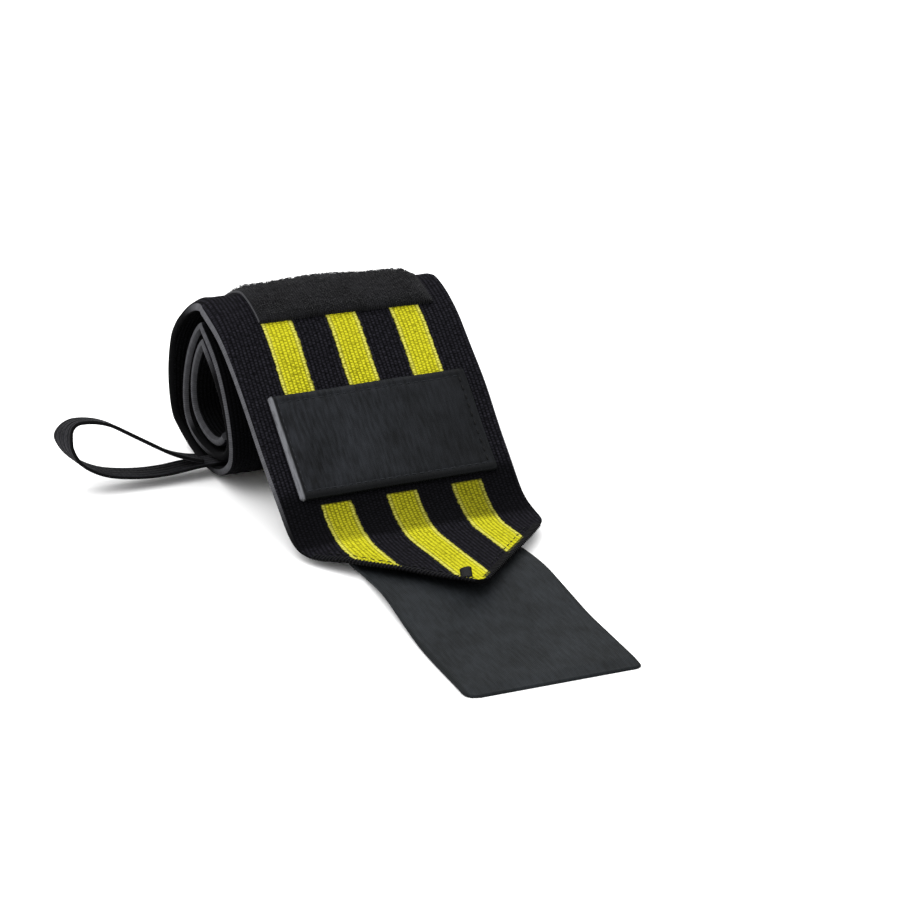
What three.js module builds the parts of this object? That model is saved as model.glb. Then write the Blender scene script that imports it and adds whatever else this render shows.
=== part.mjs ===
// Wrist wrap for lifting: a long elastic band rolled up from its inner end. The outer run comes down
// over the roll and lies flat in a pointed end, with a hook tail under it. A pile tape and a smooth
// label patch are sewn on the outer face, and a thumb loop stands out of the roll's left end.
// Millimetres, +Z up. The roll's axis lies along X and the tail points to -Y.
import * as THREE from 'three';

const DEGREE = Math.PI / 180;

// Clearance between pieces that are sewn together
const GAP = 0.3;
// Stations closer to an added one than this are left out
const STATION_SPARE = 0.2;

// Band webbing
const BAND_WIDTH = 80;
const BAND_THICK = 2.8;
const BAND_BEVEL = 0.7;

// Hook and pile tape
const TAPE_WIDTH = 56;
const HOOK_THICK = 1.6;
const PILE_THICK = 3;
const TAPE_BEVEL = 0.4;

// Roll: angles are the outward direction in degrees, 0 to the back and 90 up
const ROLL_START = -140;
const ROLL_END = 814;
const ROLL_STEP = 6;
// Angle to either side over which the winding's growth is measured
const ROLL_PROBE = 0.01;
// Heading of a run that lies flat towards the tail, after the roll's two full turns
const ROLL_FLAT_HEADING = 900;
const ROLL_RADIUS = 14.37;
const ROLL_PITCH = 5.1;
// The coil is pressed into three soft flats, one of which faces the slope, deeper in the outer turns
const FLAT_FACING = 144;
const FLAT_DEPTH = { inner: 1.18, outer: 2.6 };
// The outermost turn is slack from the bottom of the roll to its top
const SLACK_ARC = { from: 630, to: 810 };
const SLACK = 0.6;
// The same turn stands out over its upper back
const SHOULDER = { facing: 748, spread: 24, rise: 2.4 };

// Sideways drift of the winding's edge, by outward direction
const DRIFT = [
  { angle: -140, shift: 1.4 },
  { angle: 180, shift: 0.4 },
  { angle: 600, shift: 0 },
  { angle: 715, shift: -3 },
  { angle: 814, shift: 1.2 },
];

// Run from the roll to the point: the straight slope is as long as it takes to reach the floor
const BROW = { stretch: 'brow', length: 24, turn: 35.5 };
const FOOT_LENGTH = 22;
// The point lifts off the tail by this angle
const POINT_RISE = 5.5;
const POINT_LENGTH = 41.5;
const POINT_BLUNT = 2.5;
const POINT_ROUND = 3;
// Distances from the foot's end where the narrowing outline gets a station
const POINT_CUTS = [-6, -3, 0, 3, 6, 12, 20, 30];

// Places on the run, measured from where it leaves the roll
const PILE_FRONT = 14.5;
const LABEL_TOP = 41;

// Pile tape ends on the back of the roll, in this outward direction
const PILE_BACK_FACING = 690;

// Label patch
const LABEL_WIDTH = 67;
const LABEL_LENGTH = 37;
const LABEL_THICK = 1.3;
const LABEL_BEVEL = 0.5;

// Hook tail: sewn along the underside of the point, then it bends down and lies flat on the floor
const TAIL_SEWN = { stretch: 'sewn', length: 22, turn: 0 };
const TAIL_BEND = { stretch: 'bend', length: 14, turn: 10.5 };
const TAIL_LAND = { stretch: 'land', length: 10, turn: -5 };
const TAIL_LENGTH = 97.3;
const TAIL_CORNER = 3;
// Shares of the corner radius, from the end, where the rounded corner gets a station
const TAIL_CORNER_CUTS = [1, 0.4, 0.15];
const TAIL_TURN_STEP = 2;

// Thumb loop strap
const STRAP_WIDTH = 10;
const STRAP_THICK = 1;
const STRAP_BEVEL = 0.3;
const STRAP_STEP = 9;
// The bottom layer curves up under the edges of the flat root
const STRAP_BED_GAP = 0.5;
// The lower end is sewn between the two layers at the bottom of the roll, on the outer one, where
// that layer's outward direction is this
const STRAP_ROOT_FACING = 622;
const STRAP_ROOT_LENGTH = 15;
// Outside the roll the loop leans back by this angle, reached over the given length
const STRAP_LEAN = 20;
const STRAP_LEAN_LENGTH = 12;
// The strap's face leans less than the loop does, so that it shows on the loop's far end
const STRAP_FACE_LEAN = 6;
// The strap from its sewn end round to the straight that comes back down to the roll's edge
const STRAP_OUT = [
  { stretch: 'root', length: STRAP_ROOT_LENGTH, turn: 0 },
  { stretch: 'dip', length: 11, turn: -7.5 },
  { stretch: 'belly', length: 21.5, turn: 16 },
  { stretch: 'rise', length: 12, turn: 27 },
  { stretch: 'end', length: 9, turn: 40 },
  { stretch: 'crest', length: 12, turn: 104.5 },
  { stretch: 'shoulder', length: 13, turn: 33 },
];
const STRAP_EASE = { stretch: 'ease', length: 14, turn: -22 };

const MATERIALS = {
  band: { color: 0x232329, roughness: 0.9 },
  loop_tape: { color: 0x1d1d20, roughness: 1.0 },
  label_patch: { color: 0x34383c, roughness: 0.5 },
  hook_tail: { color: 0x2c3035, roughness: 0.55 },
  thumb_loop: { color: 0x202024, roughness: 0.85 },
};

const smoothStep = (t) => THREE.MathUtils.smoothstep(t, 0, 1);
const softLesser = (a, b, round) => (a + b - Math.hypot(a - b, round)) / 2;

// Distance from the roll's axis to the tangent line that faces an angle
function rollSupport(angle) {
  const share = (angle - ROLL_START) / (ROLL_END - ROLL_START);
  const turns = (angle - ROLL_START) / 360;
  const depth = THREE.MathUtils.lerp(FLAT_DEPTH.inner, FLAT_DEPTH.outer, share);
  const flats = depth * Math.cos(3 * (angle - FLAT_FACING) * DEGREE);
  const slack = SLACK * smoothStep((angle - SLACK_ARC.from) / (SLACK_ARC.to - SLACK_ARC.from));
  const shoulder = SHOULDER.rise * Math.exp(-(((angle - SHOULDER.facing) / SHOULDER.spread) ** 2));
  return ROLL_RADIUS + ROLL_PITCH * turns - flats + slack + shoulder;
}

// Sideways drift at an angle, eased between the rows of the table
function driftAt(angle) {
  const next = DRIFT.findIndex((row, index) => index > 0 && angle <= row.angle);
  const to = DRIFT[next];
  const from = DRIFT[next - 1];
  const share = smoothStep((angle - from.angle) / (to.angle - from.angle));
  return THREE.MathUtils.lerp(from.shift, to.shift, share);
}

// A point of the roll's middle line, from the tangent's distance and how fast it grows
function rollPoint(angle) {
  const reach = rollSupport(angle);
  const gain = rollSupport(angle + ROLL_PROBE) - rollSupport(angle - ROLL_PROBE);
  const growth = gain / (2 * ROLL_PROBE * DEGREE);
  const cos = Math.cos(angle * DEGREE);
  const sin = Math.sin(angle * DEGREE);
  return new THREE.Vector2(reach * cos - growth * sin, reach * sin + growth * cos);
}

// Distance travelled forward and up over rows of arcs from a heading
function travel(heading, rows) {
  const gain = new THREE.Vector2();
  let facing = heading;
  for (const { length, turn } of rows) {
    const middle = (facing + turn / 2) * DEGREE;
    const half = (turn / 2) * DEGREE;
    const chord = half === 0 ? length : (length * Math.sin(half)) / half;
    gain.x += chord * Math.cos(middle);
    gain.y += chord * Math.sin(middle);
    facing += turn;
  }
  return gain;
}

// A straight row that makes a walk gain a given height along with the rows after it
function straightTo(height, heading, after) {
  const length = (height - travel(heading, after).y) / Math.sin(heading * DEGREE);
  return { stretch: 'straight', length, turn: 0 };
}

// Walks rows of arcs from a point, with a stop about every step of turn
function walkRows(start, heading, rows, turnStep) {
  const stops = [{ point: start.clone(), heading }];
  let point = start.clone();
  let facing = heading;
  for (const { length, turn } of rows) {
    const count = Math.max(1, Math.ceil(Math.abs(turn) / turnStep));
    const half = (turn / count / 2) * DEGREE;
    const chord = (length / count) * (half === 0 ? 1 : Math.sin(half) / half);
    for (let i = 0; i < count; i += 1) {
      const middle = (facing + turn / count / 2) * DEGREE;
      point = point.clone().add(new THREE.Vector2(Math.cos(middle), Math.sin(middle)).multiplyScalar(chord));
      facing += turn / count;
      stops.push({ point, heading: facing });
    }
  }
  return stops;
}

// Stations from stops in the roll's end plane, with their distance along the line
function stationsOf(stops) {
  let along = 0;
  return stops.map(({ point, heading, drift = 0, angle }, index) => {
    along += index === 0 ? 0 : point.distanceTo(stops[index - 1].point);
    const facing = (heading - 90) * DEGREE;
    return {
      along,
      angle,
      origin: new THREE.Vector3(drift, point.x, point.y),
      across: new THREE.Vector3(1, 0, 0),
      normal: new THREE.Vector3(0, Math.cos(facing), Math.sin(facing)),
    };
  });
}

// The band's middle line: stations with their distance along it, place and outward direction
function bandStations() {
  const stops = [];
  const count = Math.ceil((ROLL_END - ROLL_START) / ROLL_STEP);
  for (let i = 0; i <= count; i += 1) {
    const angle = THREE.MathUtils.lerp(ROLL_START, ROLL_END, i / count);
    stops.push({ point: rollPoint(angle), heading: angle + 90, drift: driftAt(angle), angle });
  }
  const lowest = Math.min(...stops.map((stop) => stop.point.y));
  for (const stop of stops) {
    stop.point.y += BAND_THICK / 2 - lowest;
  }
  const last = stops[stops.length - 1];
  const slopeHeading = last.heading + BROW.turn;
  const pointHeading = ROLL_FLAT_HEADING - POINT_RISE;
  const foot = { stretch: 'foot', length: FOOT_LENGTH, turn: pointHeading - slopeHeading };
  const footLevel = HOOK_THICK + GAP + BAND_THICK / 2;
  const browGain = travel(last.heading, [BROW]).y;
  const slope = straightTo(footLevel - last.point.y - browGain, slopeHeading, [foot]);
  const point = { stretch: 'point', length: POINT_LENGTH, turn: 0 };
  const run = walkRows(last.point, last.heading, [BROW, slope, foot, point], ROLL_STEP);
  for (const stop of run.slice(1)) {
    stops.push({ ...stop, drift: last.drift, angle: Infinity });
  }
  const stations = stationsOf(stops);
  const leave = stations[count].along;
  return { stations, leave, footEnd: leave + BROW.length + slope.length + FOOT_LENGTH };
}

// A station between two others
function stationAt(stations, along) {
  const next = Math.max(1, stations.findIndex((station) => station.along >= along));
  const to = stations[next];
  const from = stations[next - 1];
  const share = (along - from.along) / (to.along - from.along);
  return {
    along,
    origin: from.origin.clone().lerp(to.origin, share),
    across: from.across,
    normal: from.normal.clone().lerp(to.normal, share).normalize(),
  };
}

// The stations of a stretch, with one at each given place along it
function stretch(stations, places) {
  const from = Math.min(...places);
  const to = Math.max(...places);
  const inner = stations.filter(({ along }) => (
    along > from && along < to && places.every((place) => Math.abs(place - along) > STATION_SPARE)));
  const added = places.map((place) => stationAt(stations, place));
  return [...inner, ...added].sort((a, b) => a.along - b.along);
}

// Flat strip section with bevelled edges, from its half width and its lower and upper face
function stripSection(half, low, high, bevel) {
  return [
    [-half, low + bevel], [-half + bevel, low],
    [half - bevel, low], [half, low + bevel],
    [half, high - bevel], [half - bevel, high],
    [-half + bevel, high], [-half, high - bevel],
  ];
}

// Closed solid swept through stations, with a section worked out at each one
function sweep(stations, sectionAt) {
  const positions = [];
  const triangles = [];
  const sections = stations.map((station) => sectionAt(station));
  const sides = sections[0].length;
  stations.forEach(({ origin, across, normal }, index) => {
    for (const [side, height] of sections[index]) {
      const corner = origin.clone().addScaledVector(across, side).addScaledVector(normal, height);
      positions.push(corner.x, corner.y, corner.z);
    }
  });
  for (let i = 0; i + 1 < stations.length; i += 1) {
    for (let k = 0; k < sides; k += 1) {
      const a = i * sides + k;
      const b = i * sides + ((k + 1) % sides);
      triangles.push(a, b, b + sides, a, b + sides, a + sides);
    }
  }
  const end = (stations.length - 1) * sides;
  for (let k = 1; k + 1 < sides; k += 1) {
    triangles.push(0, k + 1, k, end, end + k, end + k + 1);
  }
  const geometry = new THREE.BufferGeometry();
  geometry.setAttribute('position', new THREE.Float32BufferAttribute(positions, 3));
  geometry.setIndex(triangles);
  geometry.computeVertexNormals();
  return geometry;
}

// Half width of a strip that ends in two rounded corners
function roundedHalf(half, radius, fromEnd) {
  const into = Math.max(0, radius - fromEnd);
  return half - radius + Math.sqrt(radius * radius - into * into);
}

// The webbing: full width on the roll and the slope, narrowing to the point
function bandGeometry({ stations, footEnd }) {
  const tip = stations[stations.length - 1].along;
  const fall = (BAND_WIDTH / 2 - POINT_BLUNT) / POINT_LENGTH;
  const cuts = POINT_CUTS.map((step) => footEnd + step);
  const places = [0, ...cuts, tip];
  return sweep(stretch(stations, places), ({ along }) => {
    const pointed = POINT_BLUNT + fall * (tip - along);
    const half = softLesser(BAND_WIDTH / 2, pointed, POINT_ROUND);
    return stripSection(half, -BAND_THICK / 2, BAND_THICK / 2, BAND_BEVEL);
  });
}

// A strip sewn on the band's outer face
function patchGeometry(stations, from, to, width, thick, bevel) {
  const low = BAND_THICK / 2 + GAP;
  return sweep(stretch(stations, [from, to]), () => stripSection(width / 2, low, low + thick, bevel));
}

// The hook tape: along the underside of the point, then down to the floor and flat to its end
function tailGeometry({ stations, footEnd }) {
  const foot = stationAt(stations, footEnd);
  const under = BAND_THICK / 2 + GAP + HOOK_THICK / 2;
  const start = foot.origin.clone().addScaledVector(foot.normal, -under);
  const heading = 180 - POINT_RISE;
  const downHeading = heading + TAIL_SEWN.turn + TAIL_BEND.turn;
  const sewnGain = travel(heading, [TAIL_SEWN, TAIL_BEND]).y;
  const fall = straightTo(HOOK_THICK / 2 - start.z - sewnGain, downHeading, [TAIL_LAND]);
  const rows = [TAIL_SEWN, TAIL_BEND, fall, TAIL_LAND];
  const laidLength = rows.reduce((sum, { length }) => sum + length, 0);
  const flat = { stretch: 'flat', length: TAIL_LENGTH - laidLength, turn: 0 };
  const corner = TAIL_CORNER_CUTS.map((share) => TAIL_LENGTH - TAIL_CORNER * share);
  const stops = walkRows(new THREE.Vector2(start.y, start.z), heading, [...rows, flat], TAIL_TURN_STEP);
  const laid = stationsOf(stops);
  const places = [0, ...corner, laid[laid.length - 1].along];
  return sweep(stretch(laid, places), ({ along }) => {
    const half = roundedHalf(TAPE_WIDTH / 2, TAIL_CORNER, TAIL_LENGTH - along);
    return stripSection(half, -HOOK_THICK / 2, HOOK_THICK / 2, TAPE_BEVEL);
  });
}

// The strap: its lower end lies between the layers at the bottom, its upper end over it at the edge
function thumbLoopGeometry({ stations }) {
  const seat = stations.find(({ angle }) => angle >= STRAP_ROOT_FACING);
  const inward = seat.normal.clone().negate();
  const rootLean = Math.atan2(inward.y, inward.z) / DEGREE;
  const height = BAND_THICK / 2 + STRAP_BED_GAP + STRAP_THICK / 2;
  const edge = BAND_WIDTH / 2;
  const rootEnd = edge - STRAP_ROOT_LENGTH;
  const backHeading = STRAP_OUT.reduce((sum, { turn }) => sum + turn, 0);
  const crown = travel(0, STRAP_OUT).y;
  const back = straightTo(STRAP_THICK + GAP - crown, backHeading, [STRAP_EASE]);
  const rows = [...STRAP_OUT, back, STRAP_EASE];
  const stops = walkRows(new THREE.Vector2(rootEnd, 0), 0, rows, STRAP_STEP);
  const laid = stops.map(({ point, heading }) => {
    const outside = smoothStep((point.x - edge) / STRAP_LEAN_LENGTH);
    const lean = THREE.MathUtils.lerp(rootLean, STRAP_LEAN, outside) * DEGREE;
    const rise = new THREE.Vector3(0, Math.sin(lean), Math.cos(lean));
    const outward = new THREE.Vector3(-1, 0, 0);
    const face = THREE.MathUtils.lerp(rootLean, STRAP_FACE_LEAN, outside) * DEGREE;
    const across = new THREE.Vector3(0, -Math.cos(face), Math.sin(face));
    const turn = heading * DEGREE;
    const root = seat.origin.clone().addScaledVector(inward, height);
    const origin = root.addScaledVector(outward, point.x).addScaledVector(rise, point.y);
    const forward = outward.multiplyScalar(Math.cos(turn)).addScaledVector(rise, Math.sin(turn));
    return { origin, across, normal: forward.cross(across).normalize() };
  });
  const half = STRAP_THICK / 2;
  return sweep(laid, () => stripSection(STRAP_WIDTH / 2, -half, half, STRAP_BEVEL));
}

function piece(name, geometry) {
  const material = new THREE.MeshStandardMaterial({ metalness: 0, ...MATERIALS[name] });
  const mesh = new THREE.Mesh(geometry, material);
  mesh.name = name;
  return mesh;
}

function buildWrap() {
  const line = bandStations();
  const { stations, leave } = line;
  const pileBack = stations.find(({ angle }) => angle >= PILE_BACK_FACING).along;
  const pile = patchGeometry(stations, pileBack, leave + PILE_FRONT, TAPE_WIDTH, PILE_THICK, TAPE_BEVEL);
  const labelTop = leave + LABEL_TOP;
  const label = patchGeometry(
    stations, labelTop, labelTop + LABEL_LENGTH, LABEL_WIDTH, LABEL_THICK, LABEL_BEVEL);
  const wrap = new THREE.Group();
  wrap.add(
    piece('band', bandGeometry(line)),
    piece('loop_tape', pile),
    piece('label_patch', label),
    piece('hook_tail', tailGeometry(line)),
    piece('thumb_loop', thumbLoopGeometry(line)),
  );
  // The origin is under the middle of the whole, on the floor
  const box = new THREE.Box3().setFromObject(wrap);
  const middle = box.getCenter(new THREE.Vector3());
  wrap.position.set(-middle.x, -middle.y, -box.min.z);
  return wrap;
}

export default buildWrap();
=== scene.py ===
"""Looks of a lifting wrist wrap, partly unrolled.

A striped elastic band is rolled up from its inner end. It has a pile tape, a bare label, a hook tail under
its pointed end and a thumb loop. Lengths are in millimetres until they are placed.
"""

import math

import bpy
import numpy as np
from mathutils import Matrix


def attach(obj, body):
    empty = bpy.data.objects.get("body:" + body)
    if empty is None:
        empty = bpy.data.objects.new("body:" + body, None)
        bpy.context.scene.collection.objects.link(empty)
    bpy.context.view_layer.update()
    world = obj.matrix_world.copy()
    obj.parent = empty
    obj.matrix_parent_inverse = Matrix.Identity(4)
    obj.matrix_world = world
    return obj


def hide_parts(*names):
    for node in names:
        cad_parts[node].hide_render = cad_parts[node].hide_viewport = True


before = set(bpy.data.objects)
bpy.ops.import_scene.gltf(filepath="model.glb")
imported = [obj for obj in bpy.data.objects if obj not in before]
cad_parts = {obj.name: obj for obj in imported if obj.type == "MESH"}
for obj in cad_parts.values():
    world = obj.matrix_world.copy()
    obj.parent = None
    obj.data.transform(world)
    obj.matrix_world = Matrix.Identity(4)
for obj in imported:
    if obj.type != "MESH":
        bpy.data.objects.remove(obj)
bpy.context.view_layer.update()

MM = 0.001
# Where the roll's axis and the band's middle stand in the frame
SHIFT = np.array([24.0047, 76.2035, 0.0])

# Band webbing
BAND_WIDTH = 80.0
BAND_HALF = BAND_WIDTH / 2
BAND_THICK = 2.8
OUTER = BAND_THICK / 2
INNER = -OUTER
BAND_STEP = 0.8
STRIPE_PITCH = 22.0
STRIPE_WIDTH = 10.3
STRIPE_HALF = STRIPE_WIDTH / 2
# The three stripes lie within this distance of the band's middle
STRIPES_REACH = 1.5 * STRIPE_PITCH

# Roll: angles are the outward direction in degrees, 0 to the back and 90 up
ROLL_START = -140.0
ROLL_END = 814.0
ROLL_STEP = 1.5
ROLL_FLAT_HEADING = 900.0
ROLL_RADIUS = 14.37
ROLL_PITCH = 5.1
ROLL_PROBE = 0.01
FLATS = 3
FLAT_FACING = 144.0
FLAT_INNER = 1.18
FLAT_OUTER = 2.6
SLACK_FROM = 630.0
SLACK_TO = 810.0
SLACK = 0.6
SHOULDER_FACING = 748.0
SHOULDER_SPREAD = 24.0
SHOULDER_RISE = 2.4
DRIFT_ANGLE = [-140.0, 180.0, 600.0, 715.0, 814.0]
DRIFT_SHIFT = [1.4, 0.4, 0.0, -3.0, 1.2]

# Run from the roll to the point, as rows of length and turn
BROW = (24.0, 35.5)
FOOT_LENGTH = 22.0
# Share of the foot's bend after which the cloth lies in the light, where the painted shade ends
FOOT_LIT = 0.63
POINT_RISE = 5.5
POINT_LENGTH = 41.5
POINT_BLUNT = 2.5
POINT_ROUND = 3.0
# The point's left corner starts earlier than its right one
POINT_SKEW = 8.0
# Width lost to each millimetre along the point, on its left and its right
POINT_FALL = {
    -1: (BAND_HALF - POINT_BLUNT) / (POINT_LENGTH + POINT_SKEW),
    1: (BAND_HALF - POINT_BLUNT) / POINT_LENGTH,
}
# The point's edges have a dark hem and are pressed thin, from a lead before the point on
POINT_HEM = 1.3
POINT_EDGE_THICK = 0.9
POINT_EDGE_REACH = 7.0
POINT_EDGE_LEAD = 18.0
POINT_EDGE_EASE = 12.0

# Tapes and label, the gap that the solids leave for a sewn seam, and how far the looks reach into the band
SEAM_GAP = 0.3
SEWN_IN = 0.1
TAPE_WIDTH = 56.0
HOOK_THICK = 1.6
PILE_THICK = 3.0
PILE_FRONT = 14.5
PILE_BACK_FACING = 690.0
LABEL_TOP = 41.0
LABEL_WIDTH = 67.0
LABEL_LENGTH = 37.0
LABEL_THICK = 1.3
TAIL_LENGTH = 97.3
TAIL_SEWN = (22.0, 0.0)
TAIL_BEND = (14.0, 10.5)
TAIL_LAND = (10.0, -5.0)

# Thumb loop
STRAP_WIDTH = 10.0
STRAP_THICK = 1.0
STRAP_STEP = 0.7
STRAP_ROOT_FACING = 622.0
STRAP_ROOT_LENGTH = 15.0
STRAP_BED_GAP = 0.5
STRAP_LEAN = 20.0
STRAP_LEAN_LENGTH = 12.0
# Lean of the strap's face on its lower and its upper strand, and the headings between which it changes
STRAP_FACE_LEAN = 5.0
STRAP_TOP_LEAN = 13.5
STRAP_FACE_HEADING = 70.0
STRAP_TOP_HEADING = 180.0
# Its outer turn stands askew, the near edge to the right
STRAP_SKEW = 0.32
STRAP_SKEW_HEADING = 95.0
STRAP_SKEW_SPREAD = 42.0
STRAP_OUT = [(15.0, 0.0), (11.0, -5.0), (22.3, 18.0), (10.5, 24.0), (8.4, 38.0), (9.8, 105.0), (13.0, 33.0)]
STRAP_EASE = (14.0, -22.0)

# Camera of the photograph: a point of the frame, in millimetres, and the picture's place for it
CAMERA_TARGET = SHIFT - np.array([0.0, 25.0, 0.0])
CAMERA_AZIMUTH = -22.0
CAMERA_ELEVATION = 23.7
CAMERA_DISTANCE = 1300.0
CAMERA_SENSOR = 36.0
PICTURE_SIDE = 900.0
PICTURE_SCALE = 3.1
PICTURE_PLACE = (349.8, 479.5)

COLOURS = {
    "band_valley": "#040405",
    "band_ridge": "#26252b",
    # The band's inside face: its own cloth painted darker, as painted shade
    "inside_valley": "#030303",
    "inside_ridge": "#121214",
    # Selvedge: a dark base, and a paler colour painted where light catches the edges, as painted highlight
    "edge_dark": "#080809",
    "edge_highlight": "#5e5e62",
    "stripe": "#bbb722",
    "stripe_valley": "#6b6709",
    "stripe_pale": "#c5c274",
    "pile_valley": "#080809",
    "pile_ridge": "#1e1e21",
    # The tape's side edges are painted paler, as painted highlight where they catch light
    "pile_edge_highlight": "#444447",
    "label_valley": "#0a0b0c",
    "label_ridge": "#24262a",
    # Painted highlight on the label's left fold
    "label_fold_highlight": "#636468",
    "tail_valley": "#0f1112",
    "tail_ridge": "#232629",
    "strap_valley": "#030304",
    "strap_ridge": "#2b2b2f",
    "thread": "#0b0b0d",
    "floor": "#fbfbfb",
}

# Stripes: how far their borders wander and blur, and their pale rim
STRIPE_RIPPLE = 1.1
STRIPE_BLUR = 0.25
STRIPE_RIM = (1.9, 0.5)
STRIPE_RIM_SHARE = 0.4
STRIPE_WORN = 0.3
STRIPE_FULL = 0.7
HEM_BLUR = 0.3
# Band cloth: yarn cells, flecks, and the painted shade over a span from the label to the foot, on the cloth
# and on the stripes, stronger on the stripes' right
BAND_CELL = (1.3, 1.0)
BAND_FLECK = (0.2, 0.75)
SHADE_ON_CLOTH = 0.75
SHADE_ON_STRIPES = 0.4
SHADE_ON_STRIPES_RIGHT = 0.25
SHADE_SIDES = (-30.0, 35.0)
# Share of the deep painted shade over a span of the roll that lies in the dark under the run
DEEP_SHADE_SHARE = 0.9
# Selvedge: turns of thread in radians to the millimetre, their relief and mean, and the least fleck
SELVEDGE_TURNS = 8.5
SELVEDGE_RELIEF = 0.15
SELVEDGE_MEAN = 0.75
SELVEDGE_FLECK = 0.55
# Fine weave: shares of yarn, fleck and cloud in its tone
WEAVE_YARN = 0.2
WEAVE_FLECK = 0.5
WEAVE_CLOUD = 0.4
FLECK_STRETCH = (1.0, 0.15)
FLECK_SPAN = (0.25, 0.75)
CLOUD_SPAN = (0.3, 0.7)
CLOUD_MEAN = 0.3
BORDER_BLUR = 0.4
BORDER_SHADE = 0.7
# Label: painted shade to the right, a groove beside the fold painted in shade, how dark that groove and the
# dark hem are, and the least paleness of the fold's painted highlight
LABEL_PAINTED_SHADE = 0.5
LABEL_PAINTED_SHADE_SIDES = (-12.0, 34.0)
LABEL_GROOVE_SHADE = (1.5, 0.8)
LABEL_RIM_SHADE = 0.85
LABEL_FOLD_HIGHLIGHT = 0.5
LABEL_BLUR = 0.4
PLAIN_DARK = 0.55


def tone(name):
    """A colour of the table as linear red, green, blue and alpha."""
    digits = COLOURS[name][1:]
    shares = [int(digits[i:i + 2], 16) / 255 for i in (0, 2, 4)]
    return (*[s / 12.92 if s <= 0.04045 else ((s + 0.055) / 1.055) ** 2.4 for s in shares], 1.0)


def smooth(t):
    t = np.clip(t, 0.0, 1.0)
    return t * t * (3.0 - 2.0 * t)


def mix(a, b, share):
    return a + (b - a) * share


def bell(value, middle, reach):
    """1 at the middle, dying out over a reach to both sides."""
    return np.exp(-((value - middle) / reach) ** 2)


def eased_span(value, start, full, fade, end):
    """1 from full to fade, eased to 0 at start and at end."""
    return smooth((value - start) / (full - start)) * smooth((end - value) / (end - fade))


# Middle lines

def roll_support(angle):
    share = (angle - ROLL_START) / (ROLL_END - ROLL_START)
    flats = mix(FLAT_INNER, FLAT_OUTER, share) * np.cos(FLATS * np.radians(angle - FLAT_FACING))
    slack = SLACK * smooth((angle - SLACK_FROM) / (SLACK_TO - SLACK_FROM))
    shoulder = SHOULDER_RISE * bell(angle, SHOULDER_FACING, SHOULDER_SPREAD)
    return ROLL_RADIUS + ROLL_PITCH * (angle - ROLL_START) / 360 - flats + slack + shoulder


def roll_points(angle):
    reach = roll_support(angle)
    gain = roll_support(angle + ROLL_PROBE) - roll_support(angle - ROLL_PROBE)
    growth = gain / np.radians(2 * ROLL_PROBE)
    cos, sin = np.cos(np.radians(angle)), np.sin(np.radians(angle))
    return np.stack([reach * cos - growth * sin, reach * sin + growth * cos], 1)


def drift_at(angle):
    at = np.clip(np.searchsorted(DRIFT_ANGLE, angle), 1, len(DRIFT_ANGLE) - 1)
    low, high = np.take(DRIFT_ANGLE, at - 1), np.take(DRIFT_ANGLE, at)
    share = smooth((angle - low) / (high - low))
    return mix(np.take(DRIFT_SHIFT, at - 1), np.take(DRIFT_SHIFT, at), share)


def chord(length, turn):
    half = math.radians(turn) / 2
    return length if half == 0 else length * math.sin(half) / half


def travel(heading, rows):
    """Distance gained forward and up over rows of arcs."""
    gain = np.zeros(2)
    for length, turn in rows:
        middle = math.radians(heading + turn / 2)
        gain += chord(length, turn) * np.array([math.cos(middle), math.sin(middle)])
        heading += turn
    return gain


def straight_to(height, heading, after):
    """A straight row that makes a walk gain a height along with the rows after it."""
    return ((height - travel(heading, after)[1]) / math.sin(math.radians(heading)), 0.0)


def walk(start, heading, rows, step):
    """Points and headings along rows of arcs, about a step apart."""
    points, headings = [np.array(start, float)], [heading]
    for length, turn in rows:
        count = max(1, math.ceil(length / step))
        for _ in range(count):
            points.append(points[-1] + travel(headings[-1], [(length / count, turn / count)]))
            headings.append(headings[-1] + turn / count)
    return np.array(points), np.array(headings)


class Line:
    """A strip's middle line in the roll's end plane, by distance along it."""

    def __init__(self, points, headings, drift=None):
        steps = np.linalg.norm(np.diff(points, axis=0), axis=1)
        self.along = np.concatenate([[0.0], np.cumsum(steps)])
        self.points, self.headings = points, headings
        self.drift = np.zeros(len(points)) if drift is None else drift
        self.length = self.along[-1]

    def at(self, along):
        """Places and outward directions."""
        y, z = (np.interp(along, self.along, self.points[:, k]) for k in (0, 1))
        heading = np.radians(np.interp(along, self.along, self.headings))
        none = np.zeros_like(heading)
        place = np.stack([np.interp(along, self.along, self.drift), y, z], -1)
        return place, np.stack([none, np.sin(heading), -np.cos(heading)], -1)

    def put(self, along, side, height):
        """Points at a distance along, across and off the middle line."""
        place, normal = self.at(along)
        return place + side[..., None] * np.array([1.0, 0.0, 0.0]) + height[..., None] * normal


def band_line():
    angles = np.linspace(ROLL_START, ROLL_END, round((ROLL_END - ROLL_START) / ROLL_STEP) + 1)
    roll = roll_points(angles)
    roll[:, 1] += OUTER - roll[:, 1].min()
    heading = ROLL_END + 90
    slope_heading = heading + BROW[1]
    foot = (FOOT_LENGTH, ROLL_FLAT_HEADING - POINT_RISE - slope_heading)
    foot_height = HOOK_THICK + SEAM_GAP + OUTER
    fall = foot_height - roll[-1, 1] - travel(heading, [BROW])[1]
    slope = straight_to(fall, slope_heading, [foot])
    run, headings = walk(roll[-1], heading, [BROW, slope, foot, (POINT_LENGTH, 0.0)], BAND_STEP)
    points = np.concatenate([roll, run[1:]])
    drift = np.concatenate([drift_at(angles), np.full(len(run) - 1, DRIFT_SHIFT[-1])])
    line = Line(points, np.concatenate([angles + 90, headings[1:]]), drift)
    line.leave = line.along[len(roll) - 1]
    line.lit_from = line.leave + BROW[0] + slope[0] + FOOT_LENGTH * FOOT_LIT
    line.point_from = line.leave + BROW[0] + slope[0] + FOOT_LENGTH
    line.angle_along = lambda angle: float(np.interp(angle, angles, line.along[:len(angles)]))
    return line


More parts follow.
